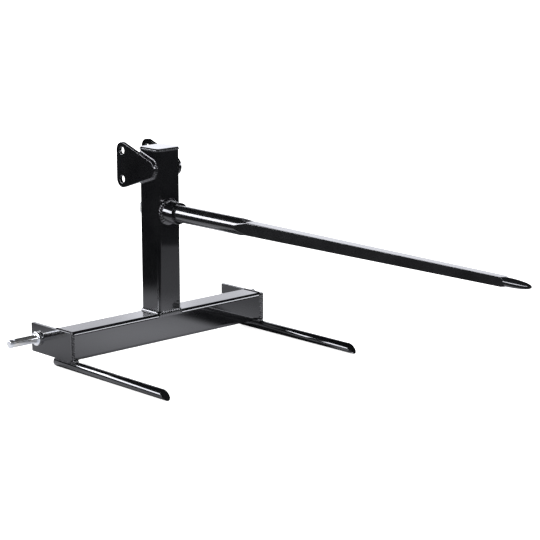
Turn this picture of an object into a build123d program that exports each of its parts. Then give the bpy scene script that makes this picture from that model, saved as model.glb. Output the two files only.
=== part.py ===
# Bale spear for a three-point hitch. Sizes are in millimetres.
# X runs across the hitch, the spear points along -Y and Z is up.
# Both stabilizer bars lie on the floor at Z = 0.
import os
from math import radians, sqrt, tan

from build123d import *

os.makedirs("parts", exist_ok=True)

# Square tube of the crossbar and the mast
tube_size = 76.2
tube_wall = 4.8
tube_corner = 9.5

# Crossbar and the flat end plates that run back from it
crossbar_length = 648.0
end_plate_thick = 9.5
end_plate_length = 165.0
end_plate_corner = 2.0

# Round stabilizer bars under the crossbar
stabilizer_diameter = 25.4
stabilizer_inset = 4.8
stabilizer_reach = 407.0
stabilizer_cut_angle = 45.0

# Lower hitch pins, bolted through the end plates
pin_setback = 100.0
pin_diameter = 22.0
pin_length = 83.5
pin_end_chamfer = 2.5
pin_cross_hole = 11.5
pin_cross_hole_from_end = 14.0
collar_diameter = 37.0
collar_thick = 8.0
collar_edge_radius = 1.6
stud_diameter = 19.0
stud_hole_diameter = 20.0
stud_past_nut = 4.0
lock_washer_diameter = 31.0
lock_washer_thick = 4.8
pin_nut_across_flats = 28.6
pin_nut_thick = 16.0

# Mast and the plate that closes its top
mast_length = 434.2
cap_thick = 4.8
cap_edge_chamfer = 0.8

# Top-link plates on the sides of the mast, with the upper hole 460 above the lower pins
link_plate_thick = 9.5
link_hole_below_mast_top = 12.3
link_hole_spacing = 76.2
link_hole_diameter = 20.0
link_setback = 98.0
link_corner_radius = 22.5
link_nose_radius = 24.0
link_nose_ahead = 10.0

# Sleeve through the mast that holds the spear
spear_above_crossbar = 270.6
socket_diameter = 57.15
socket_ahead = 42.0
socket_behind = 3.0

# Spear, its tapered root and its nut
spear_diameter = 44.45
root_end_diameter = 30.0
root_short_of_nut = 3.0
thread_diameter = 28.0
thread_past_nut = 5.0
spear_nut_across_flats = 41.0
spear_nut_thick = 20.0
round_length = 232.0
runout_length = 38.0
taper_length = 818.0
taper_start_square = 33.0
taper_end_square = 22.4
shoulder_length = 14.0
point_length = 71.0

# Weld beads
foot_weld_leg = 5.0
cap_weld_height = 6.0
cap_weld_bulge = 1.6
plate_weld_width = 10.0
plate_weld_bulge = 2.4
link_weld_leg = 5.0
socket_weld_leg = 6.5
rear_socket_weld_leg = 3.0

# Levels and positions that follow from the sizes above
half_tube = tube_size / 2
tube_inside = tube_size - 2 * tube_wall
tube_inside_corner = max(tube_corner - tube_wall, 0.5)
tube_flat = tube_size - 2 * tube_corner
crossbar_bottom = stabilizer_diameter
crossbar_middle = crossbar_bottom + half_tube
crossbar_top = crossbar_bottom + tube_size
plate_inner_x = crossbar_length / 2
plate_outer_x = plate_inner_x + end_plate_thick
stabilizer_x = crossbar_length / 2 - stabilizer_inset
stabilizer_radius = stabilizer_diameter / 2
spear_level = crossbar_top + spear_above_crossbar

# The mast's place along Y puts the whole part evenly about Y = 0
spear_ahead_of_socket = round_length + runout_length + taper_length + shoulder_length + point_length
front_reach = half_tube + socket_ahead + spear_ahead_of_socket
rear_reach = end_plate_length - half_tube
mast_y = (front_reach - rear_reach) / 2
mast_front_y = mast_y - half_tube
mast_rear_y = mast_y + half_tube
socket_front_y = mast_front_y - socket_ahead
socket_rear_y = mast_rear_y + socket_behind
pin_y = mast_y + pin_setback
link_y = mast_y + link_setback
link_nose_y = mast_y - link_nose_ahead
mast_top = crossbar_top + mast_length
upper_hole_z = mast_top - link_hole_below_mast_top
lower_hole_z = upper_hole_z - link_hole_spacing
link_nose_z = (upper_hole_z + lower_hole_z) / 2
spear_axis = Axis((0, 0, spear_level), (0, 1, 0))

# Solid outlines of the two tubes, used only to trim the weld beads
crossbar_end = (-plate_inner_x, mast_y, crossbar_middle)
crossbar_end_plane = Plane(origin=crossbar_end, x_dir=(0, 1, 0), z_dir=(1, 0, 0))
mast_foot_plane = Plane(origin=(0, mast_y, crossbar_top), x_dir=(1, 0, 0), z_dir=(0, 0, 1))
with BuildPart() as crossbar_block:
    with BuildSketch(crossbar_end_plane):
        RectangleRounded(tube_size, tube_size, tube_corner)
    extrude(amount=crossbar_length)
with BuildPart() as mast_block:
    with BuildSketch(mast_foot_plane):
        RectangleRounded(tube_size, tube_size, tube_corner)
    extrude(amount=mast_length + cap_thick)

# Crossbar: square tube lying across
with BuildPart() as crossbar:
    with BuildSketch(crossbar_end_plane):
        RectangleRounded(tube_size, tube_size, tube_corner)
        RectangleRounded(tube_inside, tube_inside, tube_inside_corner, mode=Mode.SUBTRACT)
    extrude(amount=crossbar_length)
crossbar.part.label = "crossbar"
export_step(crossbar.part, "parts/crossbar.step")

# End plates: flat bars, flush with the crossbar at the front, with a hole for the pin stud
left_plate_plane = Plane(origin=(-plate_outer_x, 0, 0), x_dir=(0, 1, 0), z_dir=(1, 0, 0))
plate_middle_y = mast_front_y + end_plate_length / 2
with BuildPart() as left_end_plate:
    with BuildSketch(left_plate_plane):
        with Locations((plate_middle_y, crossbar_middle)):
            RectangleRounded(end_plate_length, tube_size, end_plate_corner)
        with Locations((pin_y, crossbar_middle)):
            Circle(stud_hole_diameter / 2, mode=Mode.SUBTRACT)
    extrude(amount=end_plate_thick)
left_end_plate.part.label = "left_end_plate"
export_step(left_end_plate.part, "parts/left_end_plate.step")

with BuildPart() as right_end_plate:
    mirror(left_end_plate.part, about=Plane.YZ)
right_end_plate.part.label = "right_end_plate"
export_step(right_end_plate.part, "parts/right_end_plate.step")

# Stabilizer bars: round, level, cut on a slant at the front so that the underside is longest
stabilizer_length = stabilizer_reach + half_tube
cut_run = stabilizer_diameter * tan(radians(stabilizer_cut_angle))
tip_y = mast_y - stabilizer_reach
left_bar_end = (-stabilizer_x, mast_rear_y, stabilizer_radius)
left_bar_plane = Plane(origin=left_bar_end, x_dir=(1, 0, 0), z_dir=(0, -1, 0))
beside_left_bar = (-stabilizer_x - stabilizer_diameter, 0, 0)
left_bar_side = Plane(origin=beside_left_bar, x_dir=(0, 1, 0), z_dir=(1, 0, 0))
slant_cut = [
    (tip_y, 0),
    (tip_y + cut_run, stabilizer_diameter),
    (tip_y, stabilizer_diameter),
]
with BuildPart() as left_stabilizer_bar:
    with BuildSketch(left_bar_plane):
        Circle(stabilizer_radius)
    extrude(amount=stabilizer_length)
    with BuildSketch(left_bar_side):
        Polygon(*slant_cut, align=None)
    extrude(amount=2 * stabilizer_diameter, mode=Mode.SUBTRACT)
left_stabilizer_bar.part.label = "left_stabilizer_bar"
export_step(left_stabilizer_bar.part, "parts/left_stabilizer_bar.step")

with BuildPart() as right_stabilizer_bar:
    mirror(left_stabilizer_bar.part, about=Plane.YZ)
right_stabilizer_bar.part.label = "right_stabilizer_bar"
export_step(right_stabilizer_bar.part, "parts/right_stabilizer_bar.step")

# Hitch pins: round collar against the end plate, plain pin outside it, threaded stud inside it
collar_outer_x = plate_outer_x + collar_thick
pin_end_x = collar_outer_x + pin_length
nut_outer_x = plate_inner_x - lock_washer_thick
nut_inner_x = nut_outer_x - pin_nut_thick
stud_end_x = nut_inner_x - stud_past_nut
collar_plane = Plane(origin=(-plate_outer_x, pin_y, crossbar_middle), x_dir=(0, 1, 0), z_dir=(-1, 0, 0))
cross_hole_x = pin_end_x - pin_cross_hole_from_end
left_cross_hole = Plane(origin=(-cross_hole_x, pin_y, crossbar_middle), z_dir=(0, 0, 1))
with BuildPart() as left_hitch_pin:
    with BuildSketch(collar_plane):
        Circle(collar_diameter / 2)
    extrude(amount=collar_thick)
    fillet(left_hitch_pin.faces().sort_by(Axis.X)[0].edges(), radius=collar_edge_radius)
    with BuildSketch(collar_plane.offset(collar_thick)):
        Circle(pin_diameter / 2)
    extrude(amount=pin_length)
    chamfer(left_hitch_pin.faces().sort_by(Axis.X)[0].edges(), length=pin_end_chamfer)
    with BuildSketch(collar_plane):
        Circle(stud_diameter / 2)
    extrude(amount=-(plate_outer_x - stud_end_x))
    with BuildSketch(left_cross_hole):
        Circle(pin_cross_hole / 2)
    extrude(amount=pin_diameter, both=True, mode=Mode.SUBTRACT)
left_hitch_pin.part.label = "left_hitch_pin"
export_step(left_hitch_pin.part, "parts/left_hitch_pin.step")

with BuildPart() as right_hitch_pin:
    mirror(left_hitch_pin.part, about=Plane.YZ)
right_hitch_pin.part.label = "right_hitch_pin"
export_step(right_hitch_pin.part, "parts/right_hitch_pin.step")

# Lock washers on the inner faces of the end plates
washer_plane = Plane(origin=(-plate_inner_x, pin_y, crossbar_middle), x_dir=(0, 1, 0), z_dir=(1, 0, 0))
with BuildPart() as hitch_pin_lock_washers:
    with BuildSketch(washer_plane):
        Circle(lock_washer_diameter / 2)
        Circle(stud_diameter / 2, mode=Mode.SUBTRACT)
    extrude(amount=lock_washer_thick)
    mirror(about=Plane.YZ)
hitch_pin_lock_washers.part.label = "hitch_pin_lock_washers"
export_step(hitch_pin_lock_washers.part, "parts/hitch_pin_lock_washers.step")

# Nuts on the pin studs
with BuildPart() as hitch_pin_nuts:
    with BuildSketch(washer_plane.offset(lock_washer_thick)):
        RegularPolygon(pin_nut_across_flats / sqrt(3), 6, rotation=30)
        Circle(stud_diameter / 2, mode=Mode.SUBTRACT)
    extrude(amount=pin_nut_thick)
    mirror(about=Plane.YZ)
hitch_pin_nuts.part.label = "hitch_pin_nuts"
export_step(hitch_pin_nuts.part, "parts/hitch_pin_nuts.step")

# Mast: square tube standing on the crossbar, bored front to rear for the socket
socket_plane = Plane(origin=(0, socket_front_y, spear_level), x_dir=(1, 0, 0), z_dir=(0, -1, 0))
socket_length = socket_ahead + tube_size + socket_behind
with BuildPart() as mast:
    with BuildSketch(mast_foot_plane):
        RectangleRounded(tube_size, tube_size, tube_corner)
        RectangleRounded(tube_inside, tube_inside, tube_inside_corner, mode=Mode.SUBTRACT)
    extrude(amount=mast_length)
    with BuildSketch(socket_plane):
        Circle(socket_diameter / 2)
    extrude(amount=-socket_length, mode=Mode.SUBTRACT)
mast.part.label = "mast"
export_step(mast.part, "parts/mast.step")

# Cap plate on the mast
with BuildPart() as mast_cap:
    with BuildSketch(mast_foot_plane.offset(mast_length)):
        RectangleRounded(tube_size, tube_size, tube_corner)
    extrude(amount=cap_thick)
    chamfer(mast_cap.faces().sort_by(Axis.Z)[-1].edges(), length=cap_edge_chamfer)
mast_cap.part.label = "mast_cap"
export_step(mast_cap.part, "parts/mast_cap.step")

# Top-link plates: three rounded corners, two pin holes, laid on the sides of the mast
left_link_plane = Plane(origin=(-half_tube - link_plate_thick, 0, 0), x_dir=(0, 1, 0), z_dir=(1, 0, 0))
with BuildPart() as left_top_link_plate:
    with BuildSketch(left_link_plane):
        with Locations((link_y, upper_hole_z), (link_y, lower_hole_z)):
            Circle(link_corner_radius)
        with Locations((link_nose_y, link_nose_z)):
            Circle(link_nose_radius)
        make_hull()
        with Locations((link_y, upper_hole_z), (link_y, lower_hole_z)):
            Circle(link_hole_diameter / 2, mode=Mode.SUBTRACT)
    extrude(amount=link_plate_thick)
left_top_link_plate.part.label = "left_top_link_plate"
export_step(left_top_link_plate.part, "parts/left_top_link_plate.step")

with BuildPart() as right_top_link_plate:
    mirror(left_top_link_plate.part, about=Plane.YZ)
right_top_link_plate.part.label = "right_top_link_plate"
export_step(right_top_link_plate.part, "parts/right_top_link_plate.step")

# Socket: sleeve with a tapered bore that the root of the spear is drawn into
mouth_radius = spear_diameter / 2
root_end_radius = root_end_diameter / 2
side_plane = Plane.YZ
socket_profile = [
    (socket_front_y, spear_level + mouth_radius),
    (socket_front_y, spear_level + socket_diameter / 2),
    (socket_rear_y, spear_level + socket_diameter / 2),
    (socket_rear_y, spear_level + root_end_radius),
]
with BuildPart() as spear_socket:
    with BuildSketch(side_plane):
        Polygon(*socket_profile, align=None)
    revolve(axis=spear_axis)
spear_socket.part.label = "spear_socket"
export_step(spear_socket.part, "parts/spear_socket.step")

# Spear: stations along -Y from the mouth of the socket
runout_y = socket_front_y - round_length
taper_y = runout_y - runout_length
shoulder_y = taper_y - taper_length
point_y = shoulder_y - shoulder_length
spear_tip_y = point_y - point_length
root_end_y = socket_rear_y - root_short_of_nut
root_fraction = (root_end_y - socket_front_y) / (socket_rear_y - socket_front_y)
root_radius = mouth_radius + (root_end_radius - mouth_radius) * root_fraction
thread_end_y = socket_rear_y + spear_nut_thick + thread_past_nut
point_half = taper_end_square / 2
spear_face = Plane(origin=(0, 0, spear_level), x_dir=(1, 0, 0), z_dir=(0, -1, 0))

# Four-sided point, turned 45 degrees to the bar, with sides that swell a little
with BuildPart() as point_block:
    with BuildSketch(spear_face.offset(-socket_front_y)):
        Rectangle(spear_diameter * 1.5, spear_diameter * 1.5, rotation=45)
    with BuildSketch(spear_face.offset(-shoulder_y)):
        Rectangle(1.03 * taper_end_square * sqrt(2), 1.03 * taper_end_square * sqrt(2), rotation=45)
    with BuildSketch(spear_face.offset(-point_y)):
        Rectangle(point_half * sqrt(2), point_half * sqrt(2), rotation=45)
    with BuildSketch(spear_face.offset(-point_y + 0.46 * point_length)):
        Rectangle(0.88 * point_half * sqrt(2), 0.88 * point_half * sqrt(2), rotation=45)
    with BuildSketch(spear_face.offset(-point_y + 0.79 * point_length)):
        Rectangle(0.64 * point_half * sqrt(2), 0.64 * point_half * sqrt(2), rotation=45)
    with BuildSketch(spear_face.offset(-point_y + 0.95 * point_length)):
        Rectangle(0.33 * point_half * sqrt(2), 0.33 * point_half * sqrt(2), rotation=45)
    with BuildSketch(spear_face.offset(-spear_tip_y)):
        Rectangle(0.14 * point_half * sqrt(2), 0.14 * point_half * sqrt(2), rotation=45)
    loft(ruled=True)

# Round stock that the square part is cut from
with BuildPart() as round_block:
    with BuildSketch(spear_face.offset(-runout_y)):
        Circle(mouth_radius)
    extrude(amount=runout_y - spear_tip_y)

root_profile = [
    (runout_y, spear_level),
    (runout_y, spear_level + mouth_radius),
    (socket_front_y, spear_level + mouth_radius),
    (root_end_y, spear_level + root_radius),
    (root_end_y, spear_level + thread_diameter / 2),
    (thread_end_y, spear_level + thread_diameter / 2),
    (thread_end_y, spear_level),
]
with BuildPart() as spear:
    with BuildSketch(spear_face.offset(-runout_y)):
        Rectangle(1.02 * spear_diameter, 1.02 * spear_diameter)
    with BuildSketch(spear_face.offset(-taper_y)):
        Rectangle(taper_start_square, taper_start_square)
    with BuildSketch(spear_face.offset(-shoulder_y)):
        Rectangle(taper_end_square, taper_end_square)
    with BuildSketch(spear_face.offset(-spear_tip_y)):
        Rectangle(taper_end_square, taper_end_square)
    loft(ruled=True)
    add(round_block.part, mode=Mode.INTERSECT)
    add(point_block.part, mode=Mode.INTERSECT)
    with BuildSketch(side_plane):
        Polygon(*root_profile, align=None)
    revolve(axis=spear_axis)
spear.part.label = "spear"
export_step(spear.part, "parts/spear.step")

# Nut that draws the spear into the socket
with BuildPart() as spear_nut:
    with BuildSketch(spear_face.offset(-socket_rear_y)):
        RegularPolygon(spear_nut_across_flats / sqrt(3), 6, rotation=30)
        Circle(thread_diameter / 2, mode=Mode.SUBTRACT)
    extrude(amount=-spear_nut_thick)
spear_nut.part.label = "spear_nut"
export_step(spear_nut.part, "parts/spear_nut.step")

# Weld at the foot of the mast: fillets at the sides, fills under the front and rear walls
fill_depth = 0.6 * tube_corner
foot_width = tube_size + 2 * foot_weld_leg
with BuildPart() as mast_base_weld:
    with BuildSketch(mast_foot_plane):
        RectangleRounded(foot_width, foot_width, tube_corner + foot_weld_leg)
    with BuildSketch(mast_foot_plane.offset(foot_weld_leg)):
        RectangleRounded(tube_size + 0.6, tube_size + 0.6, tube_corner + 0.3)
    loft(ruled=True)
    with Locations((0, mast_y, crossbar_top)):
        Box(2 * tube_size, tube_size, 4 * foot_weld_leg, mode=Mode.INTERSECT)
    with Locations((0, mast_y, crossbar_top - fill_depth / 2)):
        Box(tube_size, tube_size, fill_depth)
        Box(tube_size, tube_size - 1.4 * tube_corner, fill_depth, mode=Mode.SUBTRACT)
    add(mast_block.part, mode=Mode.SUBTRACT)
    add(crossbar_block.part, mode=Mode.SUBTRACT)
mast_base_weld.part.label = "mast_base_weld"
export_step(mast_base_weld.part, "parts/mast_base_weld.step")

# Weld around the seam between the cap and the mast
cap_weld_plane = mast_foot_plane.offset(mast_length - cap_weld_height / 2)
bulged_tube = tube_size + 2 * cap_weld_bulge
with BuildPart() as mast_cap_weld:
    with BuildSketch(cap_weld_plane):
        RectangleRounded(tube_size, tube_size, tube_corner)
    with BuildSketch(cap_weld_plane.offset(0.3 * cap_weld_height)):
        RectangleRounded(bulged_tube, bulged_tube, tube_corner + cap_weld_bulge)
    with BuildSketch(cap_weld_plane.offset(0.7 * cap_weld_height)):
        RectangleRounded(bulged_tube, bulged_tube, tube_corner + cap_weld_bulge)
    with BuildSketch(cap_weld_plane.offset(cap_weld_height)):
        RectangleRounded(tube_size, tube_size, tube_corner)
    loft(ruled=True)
    add(mast_block.part, mode=Mode.SUBTRACT)
mast_cap_weld.part.label = "mast_cap_weld"
export_step(mast_cap_weld.part, "parts/mast_cap_weld.step")

# Welds between the crossbar and the end plates: front bead, top bead and rear fillet
inner_x = -plate_inner_x
bead_z = crossbar_bottom + tube_corner
front_bead = [
    (inner_x, mast_front_y),
    (inner_x, mast_front_y - plate_weld_bulge),
    (inner_x + 0.7 * plate_weld_width, mast_front_y - plate_weld_bulge),
    (inner_x + plate_weld_width, mast_front_y),
]
rear_bead = [
    (inner_x, mast_rear_y),
    (inner_x + 0.6 * plate_weld_width, mast_rear_y),
    (inner_x, mast_rear_y + 0.6 * plate_weld_width),
]
top_bead = [
    (inner_x, crossbar_top),
    (inner_x + 0.6 * plate_weld_width, crossbar_top),
    (inner_x + 0.3 * plate_weld_width, crossbar_top + 0.7 * plate_weld_bulge),
    (inner_x, crossbar_top + 0.7 * plate_weld_bulge),
]
top_bead_plane = Plane(origin=(0, mast_y + tube_flat / 2, 0), x_dir=(1, 0, 0), z_dir=(0, -1, 0))
with BuildPart() as left_end_plate_weld:
    with BuildSketch(Plane.XY.offset(bead_z)):
        Polygon(*front_bead, align=None)
        Polygon(*rear_bead, align=None)
    extrude(amount=tube_flat)
    with BuildSketch(top_bead_plane):
        Polygon(*top_bead, align=None)
    extrude(amount=tube_flat)
left_end_plate_weld.part.label = "left_end_plate_weld"
export_step(left_end_plate_weld.part, "parts/left_end_plate_weld.step")

with BuildPart() as right_end_plate_weld:
    mirror(left_end_plate_weld.part, about=Plane.YZ)
right_end_plate_weld.part.label = "right_end_plate_weld"
export_step(right_end_plate_weld.part, "parts/right_end_plate_weld.step")

# Welds around the top-link plates, on the side faces of the mast
link_weld_span = 2 * (half_tube - 0.35 * tube_corner)
with BuildPart() as left_top_link_weld:
    with BuildSketch(left_link_plane.offset(link_plate_thick + 0.5 * tube_corner)):
        with Locations((link_y, upper_hole_z), (link_y, lower_hole_z)):
            Circle(link_corner_radius + link_weld_leg)
        with Locations((link_nose_y, link_nose_z)):
            Circle(link_nose_radius + link_weld_leg)
        make_hull()
    with BuildSketch(left_link_plane.offset(link_plate_thick)):
        with Locations((link_y, upper_hole_z), (link_y, lower_hole_z)):
            Circle(link_corner_radius + link_weld_leg)
        with Locations((link_nose_y, link_nose_z)):
            Circle(link_nose_radius + link_weld_leg)
        make_hull()
    with BuildSketch(left_link_plane.offset(link_plate_thick - link_weld_leg)):
        with Locations((link_y, upper_hole_z), (link_y, lower_hole_z)):
            Circle(link_corner_radius + 0.3)
        with Locations((link_nose_y, link_nose_z)):
            Circle(link_nose_radius + 0.3)
        make_hull()
    loft(ruled=True)
    with Locations((-half_tube, mast_y, link_nose_z)):
        Box(4 * link_plate_thick, link_weld_span, 2 * tube_size + link_hole_spacing, mode=Mode.INTERSECT)
    add(left_top_link_plate.part, mode=Mode.SUBTRACT)
    add(mast_block.part, mode=Mode.SUBTRACT)
left_top_link_weld.part.label = "left_top_link_weld"
export_step(left_top_link_weld.part, "parts/left_top_link_weld.step")

with BuildPart() as right_top_link_weld:
    mirror(left_top_link_weld.part, about=Plane.YZ)
right_top_link_weld.part.label = "right_top_link_weld"
export_step(right_top_link_weld.part, "parts/right_top_link_weld.step")

# Welds on both sides of each stabilizer bar, under the crossbar
groove_width = 1.7 * stabilizer_radius
groove_depth = 0.45 * stabilizer_radius
with BuildPart() as left_stabilizer_weld:
    with Locations((-stabilizer_x, mast_y, crossbar_bottom - groove_depth / 2)):
        Box(groove_width, tube_flat, groove_depth)
        Box(0.9 * stabilizer_radius, tube_flat, groove_depth, mode=Mode.SUBTRACT)
    add(left_stabilizer_bar.part, mode=Mode.SUBTRACT)
left_stabilizer_weld.part.label = "left_stabilizer_weld"
export_step(left_stabilizer_weld.part, "parts/left_stabilizer_weld.step")

with BuildPart() as right_stabilizer_weld:
    mirror(left_stabilizer_weld.part, about=Plane.YZ)
right_stabilizer_weld.part.label = "right_stabilizer_weld"
export_step(right_stabilizer_weld.part, "parts/right_stabilizer_weld.step")

# Weld around the socket in front of the mast
socket_radius = socket_diameter / 2
front_weld_profile = [
    (mast_front_y - socket_weld_leg, spear_level + socket_radius),
    (mast_front_y, spear_level + socket_radius + socket_weld_leg),
    (mast_front_y + 0.5 * tube_corner, spear_level + socket_radius + socket_weld_leg),
    (mast_front_y + 0.5 * tube_corner, spear_level + socket_radius),
]
with BuildPart() as socket_front_weld:
    with BuildSketch(side_plane):
        Polygon(*front_weld_profile, align=None)
    revolve(axis=spear_axis)
    add(mast_block.part, mode=Mode.SUBTRACT)
socket_front_weld.part.label = "socket_front_weld"
export_step(socket_front_weld.part, "parts/socket_front_weld.step")

# Weld around the socket behind the mast
rear_weld_profile = [
    (mast_rear_y, spear_level + socket_radius),
    (mast_rear_y, spear_level + socket_radius + rear_socket_weld_leg),
    (mast_rear_y + 0.8 * socket_behind, spear_level + socket_radius),
]
with BuildPart() as socket_rear_weld:
    with BuildSketch(side_plane):
        Polygon(*rear_weld_profile, align=None)
    revolve(axis=spear_axis)
socket_rear_weld.part.label = "socket_rear_weld"
export_step(socket_rear_weld.part, "parts/socket_rear_weld.step")
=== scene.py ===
import math

import bmesh
import bpy
from mathutils import Matrix, Vector, noise


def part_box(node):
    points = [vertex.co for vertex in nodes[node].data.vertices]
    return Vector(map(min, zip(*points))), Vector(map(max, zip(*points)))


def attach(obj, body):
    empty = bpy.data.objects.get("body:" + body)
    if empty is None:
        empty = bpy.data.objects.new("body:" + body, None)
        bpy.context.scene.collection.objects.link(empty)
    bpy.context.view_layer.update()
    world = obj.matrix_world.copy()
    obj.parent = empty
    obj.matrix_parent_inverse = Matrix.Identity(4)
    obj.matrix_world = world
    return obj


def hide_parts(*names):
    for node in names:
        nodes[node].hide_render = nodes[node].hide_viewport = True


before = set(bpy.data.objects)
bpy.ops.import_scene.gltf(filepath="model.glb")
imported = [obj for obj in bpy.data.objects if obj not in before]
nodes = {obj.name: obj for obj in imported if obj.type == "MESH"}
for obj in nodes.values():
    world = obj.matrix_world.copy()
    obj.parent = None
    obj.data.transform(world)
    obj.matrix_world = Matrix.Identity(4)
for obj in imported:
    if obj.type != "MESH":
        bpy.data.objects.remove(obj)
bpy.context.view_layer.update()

# The scene, and the length of a millimetre in metres
scene = bpy.context.scene
MM = 0.001


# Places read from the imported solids, in millimetres
def box_mm(node):
    low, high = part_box(node)
    return Vector(low) / MM, Vector(high) / MM


crossbar_low, crossbar_high = box_mm("crossbar")
mast_low, mast_high = box_mm("mast")
socket_low, socket_high = box_mm("spear_socket")
bar_low, bar_high = box_mm("left_stabilizer_bar")
nut_low, nut_high = box_mm("spear_nut")
spear_low, spear_high = box_mm("spear")
link_low, link_high = box_mm("left_top_link_plate")
pin_nut_low, pin_nut_high = box_mm("hitch_pin_nuts")
washer_low, washer_high = box_mm("hitch_pin_lock_washers")
cap_seam_z = box_mm("mast_cap")[0].z

tube_corner = 9.5
half_tube = mast_high.x
half_flat = half_tube - tube_corner
front_y = mast_low.y
rear_y = mast_high.y
mast_y = (front_y + rear_y) / 2
flat_front = front_y + tube_corner
flat_rear = rear_y - tube_corner
bar_bottom = crossbar_low.z
bar_top = crossbar_high.z
plate_inner = crossbar_high.x
spear_z = (socket_low.z + socket_high.z) / 2
socket_radius = (socket_high.x - socket_low.x) / 2
round_radius = (bar_high.x - bar_low.x) / 2
round_x = -(bar_high.x + bar_low.x) / 2
round_z = (bar_high.z + bar_low.z) / 2
pin_y = (pin_nut_low.y + pin_nut_high.y) / 2
pin_z = (pin_nut_low.z + pin_nut_high.z) / 2


def mix(first, last, share):
    return first + (last - first) * share


# Node helpers for the materials
NOISE_LOW, NOISE_HIGH = 0.25, 0.75


def empty_material(name):
    material = bpy.data.materials.new(name)
    material.use_nodes = True
    tree = material.node_tree
    tree.nodes.clear()
    return material, tree, tree.nodes.new("ShaderNodeOutputMaterial")


def new_material(name):
    material, tree, output = empty_material(name)
    shader = tree.nodes.new("ShaderNodeBsdfPrincipled")
    tree.links.new(shader.outputs["BSDF"], output.inputs["Surface"])
    return material, tree, shader


def object_coords(tree):
    return tree.nodes.new("ShaderNodeTexCoord").outputs["Object"]


def add_noise(tree, coords, scale, detail=2.0, roughness=0.5):
    node = tree.nodes.new("ShaderNodeTexNoise")
    node.inputs["Scale"].default_value = scale
    node.inputs["Detail"].default_value = detail
    node.inputs["Roughness"].default_value = roughness
    tree.links.new(coords, node.inputs["Vector"])
    return node.outputs["Fac"]


def add_ramp(tree, value, stops):
    node = tree.nodes.new("ShaderNodeValToRGB")
    ramp = node.color_ramp
    ramp.elements[0].position = stops[0][0]
    ramp.elements[0].color = (*stops[0][1], 1.0)
    ramp.elements[1].position = stops[-1][0]
    ramp.elements[1].color = (*stops[-1][1], 1.0)
    for position, colour in stops[1:-1]:
        element = ramp.elements.new(position)
        element.color = (*colour, 1.0)
    tree.links.new(value, node.inputs["Fac"])
    return node.outputs["Color"]


def map_range(tree, value, start, end, first, last, interpolation):
    node = tree.nodes.new("ShaderNodeMapRange")
    node.interpolation_type = interpolation
    node.inputs["From Min"].default_value = start
    node.inputs["From Max"].default_value = end
    node.inputs["To Min"].default_value = first
    node.inputs["To Max"].default_value = last
    tree.links.new(value, node.inputs["Value"])
    return node.outputs["Result"]


def noise_range(tree, value, low, high):
    """Spreads the middle of a noise over a range."""
    return map_range(tree, value, NOISE_LOW, NOISE_HIGH, low, high, "LINEAR")


def smooth_range(tree, value, start, end, first, last):
    return map_range(tree, value, start, end, first, last, "SMOOTHSTEP")


def add_bump(tree, height, strength, distance, below=None):
    node = tree.nodes.new("ShaderNodeBump")
    node.inputs["Strength"].default_value = strength
    node.inputs["Distance"].default_value = distance
    tree.links.new(height, node.inputs["Height"])
    if below is not None:
        tree.links.new(below, node.inputs["Normal"])
    return node.outputs["Normal"]


# Materials
def gloss_paint(name, dark, light, rough, peel, wave, forged=0.0):
    """Black gloss paint: orange peel, a slow waviness of the steel below and uneven gloss."""
    material, tree, shader = new_material(name)
    coords = object_coords(tree)
    cloud = add_noise(tree, coords, scale=9.0, detail=4.0, roughness=0.6)
    tree.links.new(add_ramp(tree, cloud, [(0.3, dark), (0.7, light)]), shader.inputs["Base Color"])
    gloss = add_noise(tree, coords, scale=34.0, detail=5.0, roughness=0.65)
    tree.links.new(noise_range(tree, gloss, *rough), shader.inputs["Roughness"])
    waves = add_noise(tree, coords, scale=16.0, detail=1.0)
    slow = add_bump(tree, waves, strength=wave, distance=0.0016)
    if forged > 0.0:
        hammer_marks = add_noise(tree, coords, scale=95.0, detail=4.0, roughness=0.6)
        slow = add_bump(tree, hammer_marks, strength=forged, distance=0.0006, below=slow)
    orange_peel = add_noise(tree, coords, scale=240.0, detail=1.5)
    fine = add_bump(tree, orange_peel, strength=peel, distance=0.00012, below=slow)
    tree.links.new(fine, shader.inputs["Normal"])
    tree.links.new(slow, shader.inputs["Coat Normal"])
    shader.inputs["Specular IOR Level"].default_value = 0.15
    shader.inputs["Coat Weight"].default_value = 1.0
    shader.inputs["Coat Roughness"].default_value = 0.03
    shader.inputs["Coat IOR"].default_value = 1.5
    return material


def zinc_plate(name, rough, metal):
    """Zinc plate: faint blue and straw patches, fine turning marks, small dull spots."""
    material, tree, shader = new_material(name)
    coords = object_coords(tree)
    blue, silver, straw = (0.66, 0.69, 0.74), (0.80, 0.81, 0.82), (0.80, 0.78, 0.72)
    patches = add_noise(tree, coords, scale=46.0, detail=4.0, roughness=0.6)
    tints = add_ramp(tree, patches, [(0.3, blue), (0.5, silver), (0.7, straw)])
    tree.links.new(tints, shader.inputs["Base Color"])
    spots = add_noise(tree, coords, scale=210.0, detail=3.0)
    tree.links.new(noise_range(tree, spots, *rough), shader.inputs["Roughness"])
    stretch = tree.nodes.new("ShaderNodeMapping")
    stretch.inputs["Scale"].default_value = (1900.0, 90.0, 90.0)
    tree.links.new(coords, stretch.inputs["Vector"])
    marks = add_noise(tree, stretch.outputs["Vector"], scale=1.0)
    tree.links.new(add_bump(tree, marks, strength=0.06, distance=0.0001), shader.inputs["Normal"])
    shader.inputs["Metallic"].default_value = metal
    return material


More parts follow.
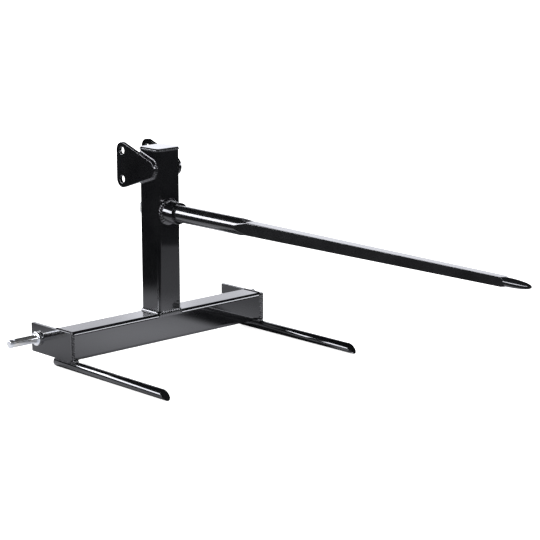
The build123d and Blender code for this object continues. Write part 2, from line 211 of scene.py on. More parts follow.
frame_paint = gloss_paint("frame_paint", dark=(0.0024, 0.0025, 0.0030), light=(0.0055, 0.0057, 0.0064),
                          rough=(0.12, 0.2), peel=0.05, wave=0.03)
weld_paint = gloss_paint("weld_paint", dark=(0.0024, 0.0025, 0.0030), light=(0.0065, 0.0067, 0.0075),
                         rough=(0.14, 0.24), peel=0.08, wave=0.05)
spear_paint = gloss_paint("spear_paint", dark=(0.0046, 0.0047, 0.0053), light=(0.0105, 0.0107, 0.0118),
                          rough=(0.16, 0.26), peel=0.05, wave=0.03, forged=0.12)
bright_zinc = zinc_plate("zinc_plate", rough=(0.12, 0.20), metal=0.92)
dull_zinc = zinc_plate("dull_zinc_plate", rough=(0.30, 0.42), metal=0.68)


# The CAD pieces that are shown as they are
def dress(node, material, bevel=0.0, segments=2):
    """Gives a CAD node its material and, by modifiers, the small rounding that paint leaves on edges."""
    piece = nodes[node]
    piece.data.materials.clear()
    piece.data.materials.append(material)
    if bevel > 0.0:
        joined = piece.modifiers.new("joined_faces", "WELD")
        joined.merge_threshold = 0.00001
        merged = piece.modifiers.new("whole_flats", "DECIMATE")
        merged.decimate_type = "DISSOLVE"
        merged.angle_limit = math.radians(0.3)
        rounding = piece.modifiers.new("edge_rounding", "BEVEL")
        rounding.width = bevel * MM
        rounding.segments = segments
        rounding.limit_method = "ANGLE"
        rounding.angle_limit = math.radians(35)
        rounding.harden_normals = True
        rounding.use_clamp_overlap = True


dress("crossbar", frame_paint)
dress("mast", frame_paint)
dress("mast_cap", frame_paint)
dress("spear_socket", frame_paint, bevel=0.8)
for hand in ("left", "right"):
    dress(hand + "_end_plate", frame_paint, bevel=0.9)
    dress(hand + "_stabilizer_bar", frame_paint, bevel=0.8)
    dress(hand + "_top_link_plate", frame_paint, bevel=2.4, segments=4)
    dress(hand + "_hitch_pin", bright_zinc, bevel=0.7)


# Mesh pieces
SHARP_ANGLE = math.radians(40)


def add_piece(name, mesh_maker, material, slot_name, *replaced):
    """Builds one mesh in millimetres, places it in the row frame and lets it ride on the frame."""
    work = bmesh.new()
    mesh_maker(work)
    bmesh.ops.recalc_face_normals(work, faces=work.faces)
    bmesh.ops.scale(work, vec=(MM, MM, MM), verts=work.verts)
    data = bpy.data.meshes.new(name)
    work.to_mesh(data)
    work.free()
    data.polygons.foreach_set("use_smooth", [True] * len(data.polygons))
    data.set_sharp_from_angle(angle=SHARP_ANGLE)
    data.materials.append(material)
    piece = bpy.data.objects.new(name, data)
    scene.collection.objects.link(piece)
    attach(piece, "root")
    if replaced:
        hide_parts(*replaced)
    return piece


def skin(work, here, there):
    """Joins two rings of vertices with faces."""
    for j in range(len(here)):
        k = (j + 1) % len(here)
        work.faces.new((here[j], here[k], there[k], there[j]))


def sweep(work, sections, closed):
    """Skins a list of closed sections, and closes both ends of an open run."""
    rings = [[work.verts.new(p) for p in section] for section in sections]
    for here, there in zip(rings, rings[1:]):
        skin(work, here, there)
    if closed:
        skin(work, rings[-1], rings[0])
        return
    for ring in (rings[0], rings[-1]):
        middle = work.verts.new(sum((v.co for v in ring), Vector()) / len(ring))
        for j in range(len(ring)):
            work.faces.new((ring[j], ring[(j + 1) % len(ring)], middle))


# Weld beads: steps along and across, then how ripples and width vary along a bead
STATION_STEP = 0.7
BEAD_STEPS = 11
CROWN_POWER = 0.75
CRESCENT_BEND = 1.62
SCALLOP_MIDDLE = 0.6
WANDER, WANDER_LENGTH = 0.35, 9.0
WIDTH_CHANGE, WIDTH_CHANGE_CLOSED, WIDTH_LENGTH = 0.12, 0.072, 7.0
LEAST_END = 0.02
ROOT_SINK = 0.2
SEED_STEP_Y, SEED_STEP_Z = 7.31, 3.17
TINY = 1e-9


def smooth_noise(x, seed):
    return noise.noise(Vector((x, seed * SEED_STEP_Y, seed * SEED_STEP_Z)))


def bead_section(station, size, bulge, ripple, phase):
    """One section across a bead, from toe to toe, and the root that lies behind them."""
    root, toe_a, toe_b, hint = station
    start = root + (toe_a - root) * size
    chord = root + (toe_b - root) * size - start
    outward = hint - chord * (hint.dot(chord) / max(chord.length_squared, TINY))
    outward.normalize()
    section = []
    for i in range(BEAD_STEPS):
        q = i / (BEAD_STEPS - 1)
        crown = math.sin(math.pi * q) ** CROWN_POWER
        scallop = abs(math.sin(math.pi * (phase + CRESCENT_BEND * (q - 0.5) ** 2))) - SCALLOP_MIDDLE
        section.append(start + chord * q + outward * (crown * size * (bulge + ripple * scallop)))
    section.append(root - outward * ROOT_SINK)
    return section


def bead(work, stations, closed, bulge, pitch, ripple, seed, taper=4.0, swells=None):
    """Lays a weld bead. A station is (root, toe on one face, toe on the other, outward hint), all in mm.

    The crown swells in crescents one pitch apart, as the puddle left them, and the toes wander a little.
    Swells, where given, is a share of the bulge and of the ripple for each station.
    """
    lengths = [0.0]
    for here, there in zip(stations, stations[1:]):
        lengths.append(lengths[-1] + (there[0] - here[0]).length)
    total = lengths[-1]
    if closed:
        total += (stations[0][0] - stations[-1][0]).length
        pitch = total / max(1, round(total / pitch))
    sections = []
    for number, (station, length) in enumerate(zip(stations, lengths)):
        bulge_share, ripple_share = swells[number] if swells else (1.0, 1.0)
        phase = length / pitch
        width_noise = smooth_noise(length / WIDTH_LENGTH, seed + 1)
        if closed:
            size = 1.0 + WIDTH_CHANGE_CLOSED * width_noise
        else:
            phase += WANDER * smooth_noise(length / WANDER_LENGTH, seed)
            size = 1.0 + WIDTH_CHANGE * width_noise
            near_end = min(1.0, min(length, total - length) / taper)
            size *= math.sqrt(max(LEAST_END, 1.0 - (1.0 - near_end) ** 2))
        sections.append(bead_section(station, size, bulge * bulge_share, ripple * ripple_share, phase))
    sweep(work, sections, closed)


def line_points(start, end):
    start, end = Vector(start), Vector(end)
    count = max(2, int((end - start).length / STATION_STEP) + 1)
    return [start.lerp(end, i / (count - 1)) for i in range(count)]


# Surfaces of the two square tubes, whose faces roll off at their corners
def rolled_back(past_flat):
    """How far a tube's face has dropped at a distance past the end of its flat."""
    past_flat = min(max(past_flat, 0.0), tube_corner)
    return tube_corner - math.sqrt(tube_corner ** 2 - past_flat ** 2)


def past_flat_at(y):
    return max(flat_front - y, y - flat_rear)


def crossbar_top_at(y):
    return bar_top - rolled_back(past_flat_at(y))


def crossbar_bottom_at(y):
    return bar_bottom + rolled_back(past_flat_at(y))


def crossbar_front_drop(z):
    return rolled_back(max(z - (bar_top - tube_corner), bar_bottom + tube_corner - z))


def mast_side_at(y):
    return half_tube - rolled_back(past_flat_at(y))


def mast_front_drop(x):
    return rolled_back(abs(x) - half_flat)


def mast_outline():
    """Points and outward directions round the mast's section."""
    corners = [(1, 1), (-1, 1), (-1, -1), (1, -1)]
    centres = [Vector((x * half_flat, mast_y + y * half_flat, 0.0)) for x, y in corners]
    turns = int(tube_corner * math.pi / 2 / STATION_STEP)
    found = []
    for i, centre in enumerate(centres):
        for k in range(turns + 1):
            angle = math.radians(90 * (i + k / turns))
            out = Vector((math.cos(angle), math.sin(angle), 0.0))
            found.append((centre + out * tube_corner, out))
        first = centre + out * tube_corner
        last = centres[(i + 1) % 4] + out * tube_corner
        found += [(p, out) for p in line_points(first, last)[1:-1]]
    return found


# The welds
def mast_base_weld(work):
    """The foot bead: tall and smooth on the mast's sides, lumpy in the grooves in front and behind."""
    leg, side_rise, groove_rise = 5.0, 7.0, 6.6
    root_inset, groove_inset = 0.5, 2.5
    side_tilt, groove_tilt = 0.8, 0.1
    side_bulge_share, side_ripple_share = 0.4, 0.2
    stations, swells = [], []
    for p, out in mast_outline():
        groove = out.y * out.y
        root_y = min(max(p.y, front_y + groove_inset), rear_y - groove_inset)
        toe_y = min(max(p.y + out.y * leg, front_y), rear_y)
        root = Vector((p.x - out.x * root_inset, root_y, crossbar_top_at(root_y)))
        toe_a = Vector((p.x + out.x * leg, toe_y, crossbar_top_at(toe_y)))
        toe_b = Vector((p.x, p.y, bar_top + mix(side_rise, groove_rise, groove)))
        stations.append((root, toe_a, toe_b, out + Vector((0, 0, mix(side_tilt, groove_tilt, groove)))))
        swells.append((mix(side_bulge_share, 1.0, groove), mix(side_ripple_share, 1.0, groove)))
    bead(work, stations, closed=True, bulge=2.4, pitch=6.2, ripple=1.4, seed=3, swells=swells)


def mast_cap_weld(work):
    """A lumpy bead on the seam between the mast and its cap."""
    half_height, root_depth, toe_depth = 3.3, 1.0, 0.2
    stations = []
    for p, out in mast_outline():
        seam = Vector((p.x, p.y, cap_seam_z))
        toe = seam - out * toe_depth
        rise = Vector((0, 0, half_height))
        stations.append((seam - out * root_depth, toe - rise, toe + rise, out))
    bead(work, stations, closed=True, bulge=2.2, pitch=7.4, ripple=1.3, seed=5)


def end_plate_front_bead(work, seam, outward):
    plate_leg, tube_leg, root_inset = 5.6, 7.0, 1.5
    root_depth, toe_depth, end_gap = 1.2, 0.2, 4.0
    forward = Vector((0, -1, 0))
    stations = []
    for p in line_points((seam, front_y, bar_bottom + end_gap), (seam, front_y, bar_top - end_gap)):
        drop = crossbar_front_drop(p.z)
        stations.append((p - outward * root_inset - forward * (root_depth + drop),
                         p + outward * plate_leg - forward * toe_depth,
                         p - outward * tube_leg - forward * (toe_depth + drop), forward))
    bead(work, stations, closed=False, bulge=2.8, pitch=6.4, ripple=2.2, seed=7)


def end_plate_rear_bead(work, seam, outward):
    leg, end_gap = 6.0, 6.0
    rearward = Vector((0, 1, 0))
    stations = []
    for p in line_points((seam, rear_y, bar_bottom + end_gap), (seam, rear_y, bar_top - end_gap)):
        stations.append((p, p - outward * leg, p + rearward * leg, rearward - outward))
    bead(work, stations, closed=False, bulge=1.0, pitch=4.4, ripple=0.8, seed=9)


def end_plate_top_bead(work, seam, outward):
    plate_leg, tube_leg, root_depth, toe_depth, past_flat = 4.4, 4.2, 0.8, 0.1, 3.0
    upward = Vector((0, 0, 1))
    stations = []
    for p in line_points((seam, flat_front - past_flat, bar_top), (seam, flat_rear + past_flat, bar_top)):
        p.z = crossbar_top_at(p.y)
        stations.append((p - upward * root_depth, p + outward * plate_leg - upward * toe_depth,
                         p - outward * tube_leg, upward))
    bead(work, stations, closed=False, bulge=1.9, pitch=5.6, ripple=0.3, seed=11)


def end_plate_weld(side):
    def make(work):
        for lay in (end_plate_front_bead, end_plate_rear_bead, end_plate_top_bead):
            lay(work, side * plate_inner, Vector((side, 0, 0)))
    return make


# The top-link plate's edge: radii of its corners and of its nose, and their centres
link_corner = 22.5
link_nose = 24.0
link_upper = Vector((0.0, link_high.y - link_corner, link_high.z - link_corner))
link_middle_z = (link_high.z + link_low.z) / 2
link_nose_centre = Vector((0.0, link_low.y + link_nose, link_middle_z))
LINK_WELD_END = 3.0


def below_middle(p):
    return Vector((0.0, p.y, 2 * link_middle_z - p.z))


def link_outline():
    """The plate's edge from its upper side round the nose to its lower side, with outward directions."""
    run = link_upper - link_nose_centre
    tilt = math.atan2(run.z, run.y) - math.asin((link_corner - link_nose) / run.length)
    upper_out = Vector((0.0, -math.sin(tilt), math.cos(tilt)))
    lower_out = Vector((0.0, upper_out.y, -upper_out.z))
    far = link_upper + upper_out * link_corner
    near = link_nose_centre + upper_out * link_nose
    begin = near.lerp(far, min(1.0, (rear_y - LINK_WELD_END - near.y) / (far.y - near.y)))
    found = [(p, upper_out) for p in line_points(begin, near)]
    first = math.atan2(upper_out.z, upper_out.y)
    last = 2 * math.pi - first
    turns = int((last - first) * link_nose / STATION_STEP)
    for k in range(1, turns):
        angle = mix(first, last, k / turns)
        out = Vector((0.0, math.cos(angle), math.sin(angle)))
        found.append((link_nose_centre + out * link_nose, out))
    return found + [(p, lower_out) for p in line_points(below_middle(near), below_middle(begin))]


def top_link_weld(side):
    def make(work):
        leg, front_gap = 5.0, 0.6
        stations = []
        for p, out in link_outline():
            toe = p + out * leg
            toe.y = max(toe.y, front_y + front_gap)
            root = Vector((side * mast_side_at(p.y), p.y, p.z))
            toe_a = Vector((side * mast_side_at(toe.y), toe.y, toe.z))
            toe_b = Vector((side * (half_tube + leg), p.y, p.z))
            stations.append((root, toe_a, toe_b, out + Vector((side, 0, 0))))
        bead(work, stations, closed=False, bulge=-1.0, pitch=5.8, ripple=0.6, seed=13)
    return make


def round_top_at(across):
    """Height of a stabilizer bar's skin at a distance across from its axis."""
    return round_z + math.sqrt(round_radius ** 2 - across ** 2)


def stabilizer_side_bead(work, x, way, seed):
    """Fills the groove between the crossbar's underside and one flank of the round bar."""
    root_reach, tube_reach, bar_reach, past_flat = 4.0, 11.2, 10.8, 4.0
    root_gap, toe_sink, hint = 0.2, 0.1, Vector((way, 0, -0.4))
    stations = []
    for p in line_points((x, flat_front - past_flat, 0), (x, flat_rear + past_flat, 0)):
        under = crossbar_bottom_at(p.y)
        stations.append((Vector((x + way * root_reach, p.y, under - root_gap)),
                         Vector((x + way * tube_reach, p.y, under + toe_sink)),
                         Vector((x + way * bar_reach, p.y, round_top_at(bar_reach))), hint))
    bead(work, stations, closed=False, bulge=0.9, pitch=4.4, ripple=0.7, seed=seed)


def stabilizer_end_bead(work, x, edge, way, bar_leg, seed):
    """Closes the gap over the round bar at the crossbar's front or rear corner."""
    half_width, root_depth, toe_depth, hint = 9.0, 5.0, 0.4, Vector((0, way, 0.5))
    toe_y = edge - way * toe_depth
    stations = []
    for p in line_points((x - half_width, edge, 0), (x + half_width, edge, 0)):
        top = round_top_at(abs(p.x - x))
        stations.append((Vector((p.x, edge - way * root_depth, top)),
                         Vector((p.x, toe_y, crossbar_bottom_at(toe_y))),
                         Vector((p.x, edge + way * bar_leg, top)), hint))
    bead(work, stations, closed=False, bulge=1.9, pitch=6.0, ripple=1.7, seed=seed, taper=3.0)


def stabilizer_weld(side):
    def make(work):
        x = side * round_x
        stabilizer_side_bead(work, x, way=-1, seed=17)
        stabilizer_side_bead(work, x, way=1, seed=18)
        stabilizer_end_bead(work, x, front_y, way=-1, bar_leg=7.0, seed=21)
        stabilizer_end_bead(work, x, rear_y, way=1, bar_leg=-0.6, seed=22)
    return make


def socket_weld(y, way, leg, pitch, ripple, seed):
    """The ring round the socket where it leaves the mast, with a leg that swells and shrinks."""
    def make(work):
        station_step, bulge_share = 0.6, 0.18
        three_lobes, seven_lobes = 0.10, 0.06
        centre = Vector((0.0, y, spear_z))
        ahead = Vector((0, way, 0))
        steps = int(2 * math.pi * socket_radius / station_step)
        stations = []
        for k in range(steps):
            angle = 2 * math.pi * k / steps
            out = Vector((math.cos(angle), 0.0, math.sin(angle)))
            swell = three_lobes * math.sin(3 * angle + seed) + seven_lobes * math.sin(7 * angle)
            lump = leg * (1.0 + swell)
            skin_point = centre + out * socket_radius
            mast_toe = centre + out * (socket_radius + lump)
            stations.append((skin_point - ahead * mast_front_drop(skin_point.x),
                             mast_toe - ahead * mast_front_drop(mast_toe.x),
                             skin_point + ahead * lump, out + ahead))
        bead(work, stations, closed=True, bulge=bulge_share * leg, pitch=pitch, ripple=ripple, seed=seed)
    return make


def add_bead(name, mesh_maker, replaced):
    add_piece(name, mesh_maker, weld_paint, "weld_paint", replaced)


add_bead("mast_base_bead", mast_base_weld, "mast_base_weld")
add_bead("mast_cap_bead", mast_cap_weld, "mast_cap_weld")
for hand, side in (("left", -1), ("right", 1)):
    add_bead(hand + "_end_plate_beads", end_plate_weld(side), hand + "_end_plate_weld")
    add_bead(hand + "_top_link_bead", top_link_weld(side), hand + "_top_link_weld")
    add_bead(hand + "_stabilizer_beads", stabilizer_weld(side), hand + "_stabilizer_weld")
front_ring = socket_weld(front_y, way=-1, leg=6.5, pitch=7.0, ripple=1.9, seed=2)
rear_ring = socket_weld(rear_y, way=1, leg=2.9, pitch=4.4, ripple=0.4, seed=4)
add_bead("socket_front_bead", front_ring, "socket_front_weld")
add_bead("socket_rear_bead", rear_ring, "socket_rear_weld")


# Fasteners
stud_radius = 9.5
pin_nut_thick = 16.0
spear_thread_radius = 14.0


def axis_place(origin, direction):
    """A frame whose Z runs along the given level direction and whose X is up."""
    z = Vector(direction)
    x = Vector((0, 0, 1))
    return Matrix.Translation(Vector(origin)) @ Matrix((x, z.cross(x), z)).transposed().to_4x4()


def round_point(place, radius, angle, height):
    return place @ Vector((radius * math.cos(angle), radius * math.sin(angle), height))


def hex_nut(work, place, flats, thick, bore):
    """A hex nut, one corner up, with turned chamfers on both faces and a cut thread in its bore."""
    around, sixth = 96, math.pi / 3
    face_share, chamfer_slope = 0.97, math.tan(math.radians(30))
    mouth_width, mouth_depth, clearance = 1.3, 1.4, 0.05
    thread_depth, thread_pitch, level_step = 0.45, 2.4, 0.6
    face_radius = face_share * flats / 2
    mouth_radius = bore + mouth_width
    crest_radius = bore + clearance
    angles = [2 * math.pi * k / around for k in range(around)]
    hexagon = [flats / 2 / math.cos(a % sixth - sixth / 2) for a in angles]
    chamfer = [max(0.0, radius - face_radius) * chamfer_slope for radius in hexagon]

    def ring(radii, heights):
        return [work.verts.new(round_point(place, r, a, h)) for r, a, h in zip(radii, angles, heights)]

    def circle(radius, height):
        return ring([radius] * around, [height] * around)

    def thread_radius(angle, height):
        turn = (height / thread_pitch + angle / (2 * math.pi)) % 1.0
        return crest_radius + thread_depth * abs(2 * turn - 1)

    loops = [circle(mouth_radius, 0.0),
             circle(face_radius, 0.0),
             ring(hexagon, chamfer),
             ring(hexagon, [thick - drop for drop in chamfer]),
             circle(face_radius, thick),
             circle(mouth_radius, thick),
             circle(crest_radius, thick - mouth_depth)]
    levels = int((thick - 2 * mouth_depth) / level_step)
    for i in range(1, levels):
        height = mix(thick - mouth_depth, mouth_depth, i / levels)
        loops.append(ring([thread_radius(a, height) for a in angles], [height] * around))
    loops.append(circle(crest_radius, mouth_depth))
    for here, there in zip(loops, loops[1:] + loops[:1]):
        skin(work, here, there)


def pin_nuts(work):
    for side in (-1, 1):
        place = axis_place((side * pin_nut_high.x, pin_y, pin_z), (-side, 0, 0))
        hex_nut(work, place, pin_nut_high.y - pin_nut_low.y, pin_nut_thick, stud_radius)


def spear_nut(work):
    place = axis_place((0, nut_low.y, spear_z), (0, 1, 0))
    hex_nut(work, place, nut_high.x - nut_low.x, nut_high.y - nut_low.y, spear_thread_radius)


def lock_washers(work):
    """Split spring washers: most of a turn of square wire, a little twisted."""
    thick, soft, clearance, low_lift, high_lift = 4.1, 0.5, 0.15, 0.05, 0.6
    outer = (washer_high.y - washer_low.y) / 2
    inner = stud_radius + clearance
    steps, begin, end = 80, math.radians(42), math.radians(390)
    for side in (-1, 1):
        place = axis_place((side * washer_high.x, pin_y, pin_z), (-side, 0, 0))
        sections = []
        for k in range(steps + 1):
            angle = mix(begin, end, k / steps)
            low = mix(low_lift, high_lift, k / steps)
            high = low + thick
            profile = [(inner, low + soft), (inner + soft, low),
                       (outer - soft, low), (outer, low + soft),
                       (outer, high - soft), (outer - soft, high),
                       (inner + soft, high), (inner, high - soft)]
            sections.append([round_point(place, radius, angle, height) for radius, height in profile])
        sweep(work, sections, closed=False)


def thread_turns(work, place, radius, length, pitch):
    """A helical ridge standing on a plain stud, run out at both ends."""
    turn_steps, ridge_height, sink, least_height = 48, 0.55, 0.2, 0.05
    half_root, half_crest, margin, fades_per_turn = 0.42 * pitch, 0.08 * pitch, 0.3 * pitch, 3
    turns = length / pitch
    steps = int(turns * turn_steps)
    sections = []
    for k in range(steps + 1):
        share = k / steps
        fade = min(1.0, share * turns * fades_per_turn, (1 - share) * turns * fades_per_turn)
        crest = radius + ridge_height * max(least_height, fade)
        level = mix(margin, length - margin, share)
        angle = 2 * math.pi * turns * share
        profile = [(radius - sink, level - half_root), (radius - sink, level + half_root),
                   (crest, level + half_crest), (crest, level - half_crest)]
        sections.append([round_point(place, r, angle, height) for r, height in profile])
    sweep(work, sections, closed=False)


def stud_threads(work):
    for side in (-1, 1):
        place = axis_place((side * (pin_nut_high.x - pin_nut_thick), pin_y, pin_z), (-side, 0, 0))
        thread_turns(work, place, stud_radius, length=3.4, pitch=1.6)


def spear_thread(work):
    end_gap = 0.3
    place = axis_place((0, nut_high.y, spear_z), (0, 1, 0))
    thread_turns(work, place, spear_thread_radius, spear_high.y - nut_high.y - end_gap, pitch=2.0)


# The spear: lengths from the mouth of its socket towards the tip, half widths of its square and its point
round_length, runout_length, taper_length, shoulder_length = 232.0, 38.0, 818.0, 14.0
runout_y = socket_low.y - round_length
taper_y = runout_y - runout_length
shoulder_y = taper_y - taper_length
point_y = shoulder_y - shoulder_length
runout_half, taper_start_half, taper_end_half = 22.67, 16.5, 11.2
socket_wall, root_short_of_nut = 6.35, 3.0
spear_radius = socket_radius - socket_wall
root_end_radius = 15.2
root_end_y = nut_low.y - root_short_of_nut
POINT_REACH = 25.0
POINT_BLUNTNESS = 0.42
POINT_END_SHARE = 0.995
RIDGE_SOFTNESS = 0.4
EDGE_SOFTNESS = 0.05
BLEND = 0.6


def square_half(y):
    """Half width of the square: a short run-out from the round stock, then a long taper to the shoulder."""
    if y > taper_y:
        return mix(runout_half, taper_start_half, (runout_y - y) / runout_length)
    return mix(taper_start_half, taper_end_half, min(1.0, (taper_y - y) / taper_length))


def point_half(y):
    """Half width of the point across its ridges: a short shoulder, then a blunt curve to the tip."""
    if y > point_y:
        return taper_end_half * (1.0 + (y - point_y) / shoulder_length)
    share = POINT_END_SHARE * (point_y - y) / (point_y - spear_low.y)
    return taper_end_half * (1.0 - share * share) ** POINT_BLUNTNESS


def soft_extra(difference, reach):
    """What a smooth blend of two values adds to the greater one, or takes from the lesser one."""
    near = max(reach - abs(difference), 0.0) / reach
    return near * near * reach / 4


def soft_least(a, b):
    return min(a, b) - soft_extra(a - b, BLEND)


def spear_section(y, angle, stock):
    """Distance from the axis to the skin: a square cut from round stock, then a point with worn ridges."""
    if y >= runout_y:
        return stock
    c, s = abs(math.cos(angle)), abs(math.sin(angle))
    square = square_half(y) / (max(c, s) + soft_extra(c - s, EDGE_SOFTNESS))
    radius = soft_least(square, stock)
    if y < shoulder_y + POINT_REACH:
        ridge = math.hypot(1.0, RIDGE_SOFTNESS) + RIDGE_SOFTNESS
        worn = point_half(y) * ridge / (math.hypot(c, RIDGE_SOFTNESS) + math.hypot(s, RIDGE_SOFTNESS))
        radius = soft_least(radius, worn)
    return radius


def steps_from(y, step, count):
    """Evenly spaced places towards the tip, without the first one."""
    return [y - step * k for k in range(1, count + 1)]


def spear_bar(work):
    """The spear: threaded end, tapered root, round length, then a long square taper to its point."""
    end_chamfer, tip_rests = 1.2, (1.3, 0.8, 0.4, 0.15, 0.0)
    eighth = [0, 5, 10, 15, 20, 25, 30, 35, 39, 41.5, 42.7, 43.6, 44.4]
    quarter = eighth + [45] + [90 - a for a in reversed(eighth[1:])]
    angles = [math.radians(a + 90 * k) for k in range(4) for a in quarter]
    stations = [(spear_high.y, spear_thread_radius - end_chamfer),
                (spear_high.y - end_chamfer, spear_thread_radius),
                (root_end_y, spear_thread_radius),
                (root_end_y, root_end_radius),
                (socket_low.y, spear_radius)]
    places = steps_from(socket_low.y, step=46.4, count=5)
    places += steps_from(runout_y, step=2.0, count=19)
    places += steps_from(taper_y, step=14.0, count=56)
    places += steps_from(shoulder_y + POINT_REACH, step=1.5, count=72)
    places += [spear_low.y + rest for rest in tip_rests]
    stations += [(y, spear_radius) for y in places]
    sections = []
    for y, stock in stations:
        section = []
        for angle in angles:
            radius = spear_section(y, angle, stock)
            section.append((radius * math.cos(angle), y, spear_z + radius * math.sin(angle)))
        sections.append(section)
    sweep(work, sections, closed=False)


add_piece("pin_nuts", pin_nuts, dull_zinc, "zinc_plate", "hitch_pin_nuts")
add_piece("pin_lock_washers", lock_washers, bright_zinc, "zinc_plate", "hitch_pin_lock_washers")
add_piece("pin_stud_threads", stud_threads, bright_zinc, "zinc_plate")
add_piece("spear_hex_nut", spear_nut, dull_zinc, "zinc_plate", "spear_nut")
add_piece("spear_bar", spear_bar, spear_paint, "spear_paint", "spear")
add_piece("spear_end_thread", spear_thread, spear_paint, "spear_paint")


# Camera at the photograph's viewpoint, in metres
EYE = Vector((-3.1390, -3.2353, 1.2954))
AIM = Vector((0.2212, 0.3771, 0.2057))
ROLL = math.radians(-0.1318)
FOCAL_PIXELS = 1901.474
IMAGE_PIXELS = 540.0
SENSOR_WIDTH = 36.0

camera_data = bpy.data.cameras.new("camera")
camera_data.sensor_width = SENSOR_WIDTH
camera_data.lens = SENSOR_WIDTH * FOCAL_PIXELS / IMAGE_PIXELS
camera_data.clip_start = 0.05
camera_data.clip_end = 400.0
camera = bpy.data.objects.new("camera", camera_data)
scene.collection.objects.link(camera)
back = (EYE - AIM).normalized()
right = Vector((0, 0, 1)).cross(back).normalized()
up = back.cross(right)
right_rolled = right * math.cos(ROLL) + up * math.sin(ROLL)
turned = Matrix((right_rolled, back.cross(right_rolled), back)).transposed().to_4x4()
camera.matrix_world = Matrix.Translation(EYE) @ turned
scene.camera = camera


# Studio: pale floor, even light, and cards that show only in reflections, all in metres
FLOOR_HALF, FLOOR_Z = 150.0, -0.0006
LIT_HALF, LIT_Z = 2.0, -0.0003
BOX_CENTRE = Vector((0.0, 0.3, 0.15))
BOX_STEPS = 12
CARD_TINT = (0.965, 0.975, 1.05, 1.0)
ALONG_X = (1.0, 0.0, 0.0)
ALONG_Y = (0.0, 1.0, 0.0)
# Level directions on the floor: about the picture's right, away from the camera, across the shade's slant
PICTURE_RIGHT = (0.665, -0.715, 0.0)
PICTURE_DEEP = (0.715, 0.665, 0.0)
SHADE_SLANT = (1.0, 0.36, 0.0)
# Along the back card, from its right end to its left one
BACK_CARD_LEFT = (-0.7396, 0.673, 0.0)
SPOT_CENTRE = (0.04, 0.36, 0.0)


def add_stage_mesh(name, corners, faces, material):
    data = bpy.data.meshes.new(name)
    data.from_pydata([Vector(c) for c in corners], [], faces)
    data.materials.append(material)
    piece = bpy.data.objects.new(name, data)
    scene.collection.objects.link(piece)
    return piece


def add_ground(name, half, z, material):
    corners = [(-half, -half, z), (half, -half, z), (half, half, z), (-half, half, z)]
    return add_stage_mesh(name, corners, [(0, 1, 2, 3)], material)


def reflection_only(piece):
    piece.visible_camera = False
    piece.visible_diffuse = False
    piece.visible_shadow = False
    piece.visible_transmission = False
    piece.visible_volume_scatter = False


def add_soft_box(name, azimuth, width, low, high, distance, material):
    """A standing card beside the object. Azimuth 0 is +X, 90 is +Y; all but the distance are degrees."""
    corners = []
    for i in range(BOX_STEPS + 1):
        a = math.radians(azimuth - width / 2 + width * i / BOX_STEPS)
        for level in (low, high):
            rise = math.tan(math.radians(level))
            corners.append(BOX_CENTRE + distance * Vector((math.cos(a), math.sin(a), rise)))
    faces = [(2 * i, 2 * i + 2, 2 * i + 3, 2 * i + 1) for i in range(BOX_STEPS)]
    reflection_only(add_stage_mesh(name, corners, faces, material))


def floor_material():
    material, tree, shader = new_material("studio_floor")
    cloud = add_noise(tree, object_coords(tree), scale=1.3, detail=3.0)
    tone = add_ramp(tree, cloud, [(0.3, (0.86, 0.86, 0.86)), (0.7, (0.88, 0.88, 0.88))])
    tree.links.new(tone, shader.inputs["Base Color"])
    shader.inputs["Roughness"].default_value = 0.9
    shader.inputs["Specular IOR Level"].default_value = 0.0
    shader.inputs["Emission Color"].default_value = (1.0, 1.0, 1.0, 1.0)
    shader.inputs["Emission Strength"].default_value = 0.8
    return material


def new_card(name):
    material, tree, output = empty_material(name)
    light = tree.nodes.new("ShaderNodeEmission")
    light.inputs["Color"].default_value = CARD_TINT
    tree.links.new(light.outputs["Emission"], output.inputs["Surface"])
    return material, tree, light


def even_card(name, strength):
    """A light card of even strength."""
    material, _, light = new_card(name)
    light.inputs["Strength"].default_value = strength
    return material


def combine(tree, operation, first, second):
    node = tree.nodes.new("ShaderNodeMath")
    node.operation = operation
    tree.links.new(first, node.inputs[0])
    tree.links.new(second, node.inputs[1])
    return node.outputs["Value"]


def along(tree, coords, direction):
    node = tree.nodes.new("ShaderNodeVectorMath")
    node.operation = "DOT_PRODUCT"
    node.inputs[1].default_value = direction
    tree.links.new(coords, node.inputs[0])
    return node.outputs["Value"]


def distance_from(tree, coords, centre):
    node = tree.nodes.new("ShaderNodeVectorMath")
    node.operation = "DISTANCE"
    node.inputs[1].default_value = centre
    tree.links.new(coords, node.inputs[0])
    return node.outputs["Value"]


def fade_in(tree, value, start, end):
    return smooth_range(tree, value, start, end, 0.0, 1.0)


def fade_out(tree, value, start, end):
    return smooth_range(tree, value, start, end, 1.0, 0.0)


def lit_sheet(tree, coords):
    """A sheet of light on the floor, brighter at the picture's left, with soft borders."""
    across = along(tree, coords, PICTURE_RIGHT)
    deep = along(tree, coords, PICTURE_DEEP)
    level = smooth_range(tree, across, start=-1.1, end=0.95, first=0.92, last=0.50)
    borders = (fade_in(tree, across, start=-1.22, end=-0.97), fade_out(tree, across, start=0.91, end=1.0),
               fade_in(tree, deep, start=-0.35, end=-0.16), fade_out(tree, deep, start=0.9, end=1.2))
    for border in borders:
        level = combine(tree, "MULTIPLY", level, border)
    return level


def far_bar_shade(tree, coords):
    """The dark strip of floor along the far bar: near 0 inside it, 1 outside."""
    inner = smooth_range(tree, along(tree, coords, ALONG_X), start=0.22, end=0.29, first=1.0, last=0.02)
    outer = fade_in(tree, along(tree, coords, SHADE_SLANT), start=0.475, end=0.52)
    ahead = fade_out(tree, along(tree, coords, ALONG_Y), start=0.2, end=0.26)
    return combine(tree, "MAXIMUM", combine(tree, "MAXIMUM", inner, outer), ahead)


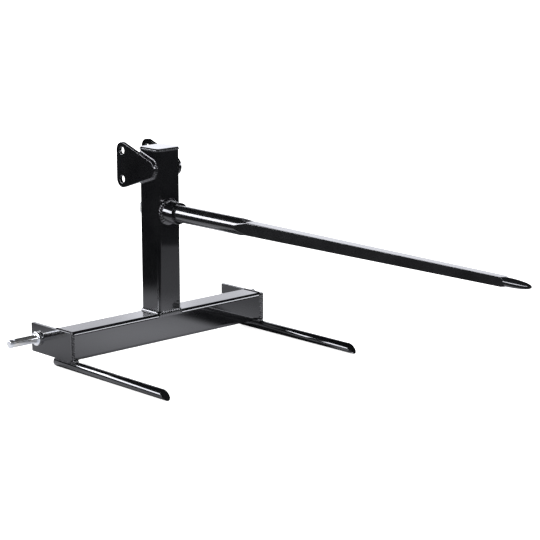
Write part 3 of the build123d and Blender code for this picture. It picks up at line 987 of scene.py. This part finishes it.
def contact_shade(tree):
    """Darkens the floor where parts stand on it or hang close over it."""
    contact = tree.nodes.new("ShaderNodeAmbientOcclusion")
    contact.samples = 8
    contact.inputs["Distance"].default_value = 0.25
    return fade_in(tree, contact.outputs["AO"], start=0.25, end=1.0)


def lit_floor_material(name):
    """The floor that the gloss paint mirrors: a sheet of light, a bright spot under the object, shade."""
    material, tree, light = new_card(name)
    coords = object_coords(tree)
    from_spot = distance_from(tree, coords, SPOT_CENTRE)
    spot = smooth_range(tree, from_spot, start=0.0, end=0.57, first=1.62, last=0.0)
    level = combine(tree, "ADD", lit_sheet(tree, coords), spot)
    level = combine(tree, "MULTIPLY", level, far_bar_shade(tree, coords))
    level = combine(tree, "MULTIPLY", level, contact_shade(tree))
    tree.links.new(level, light.inputs["Strength"])
    material.cycles.emission_sampling = "NONE"
    return material


def backdrop_material(name):
    """The card behind the object: bright at its right, then a dimmer band, a bright band and a dim left."""
    material, tree, light = new_card(name)
    across = along(tree, object_coords(tree), BACK_CARD_LEFT)
    rise = smooth_range(tree, across, start=0.42, end=0.62, first=1.15, last=1.55)
    fall = smooth_range(tree, across, start=0.72, end=0.95, first=1.0, last=0.72)
    lift = smooth_range(tree, across, start=0.05, end=0.22, first=1.32, last=1.0)
    level = combine(tree, "MULTIPLY", combine(tree, "MULTIPLY", rise, fall), lift)
    tree.links.new(level, light.inputs["Strength"])
    return material


floor = add_ground("floor", FLOOR_HALF, FLOOR_Z, floor_material())
floor.visible_glossy = False
reflection_only(add_ground("floor_light", LIT_HALF, LIT_Z, lit_floor_material("floor_light")))

add_soft_box("soft_box_back", azimuth=47.0, width=70.0, low=3.0, high=24.0, distance=6.0,
             material=backdrop_material("soft_box_back"))
add_soft_box("soft_box_left", azimuth=129.0, width=44.0, low=12.7, high=29.5, distance=4.0,
             material=even_card("soft_box_left", strength=16.0))
add_soft_box("soft_box_side", azimuth=167.0, width=38.0, low=12.0, high=29.5, distance=4.0,
             material=even_card("soft_box_side", strength=16.0))
add_soft_box("soft_box_right", azimuth=-45.0, width=30.0, low=12.0, high=30.0, distance=4.0,
             material=even_card("soft_box_right", strength=11.5))
add_soft_box("soft_box_front", azimuth=-107.0, width=28.0, low=14.0, high=34.0, distance=5.0,
             material=even_card("soft_box_front", strength=8.0))

world = bpy.data.worlds.new("studio")
world.use_nodes = True
world.node_tree.nodes["Background"].inputs["Color"].default_value = (1.0, 1.0, 1.0, 1.0)
world.node_tree.nodes["Background"].inputs["Strength"].default_value = 1.35
world.cycles_visibility.glossy = False
scene.world = world

scene.view_settings.view_transform = "Standard"
scene.view_settings.look = "None"
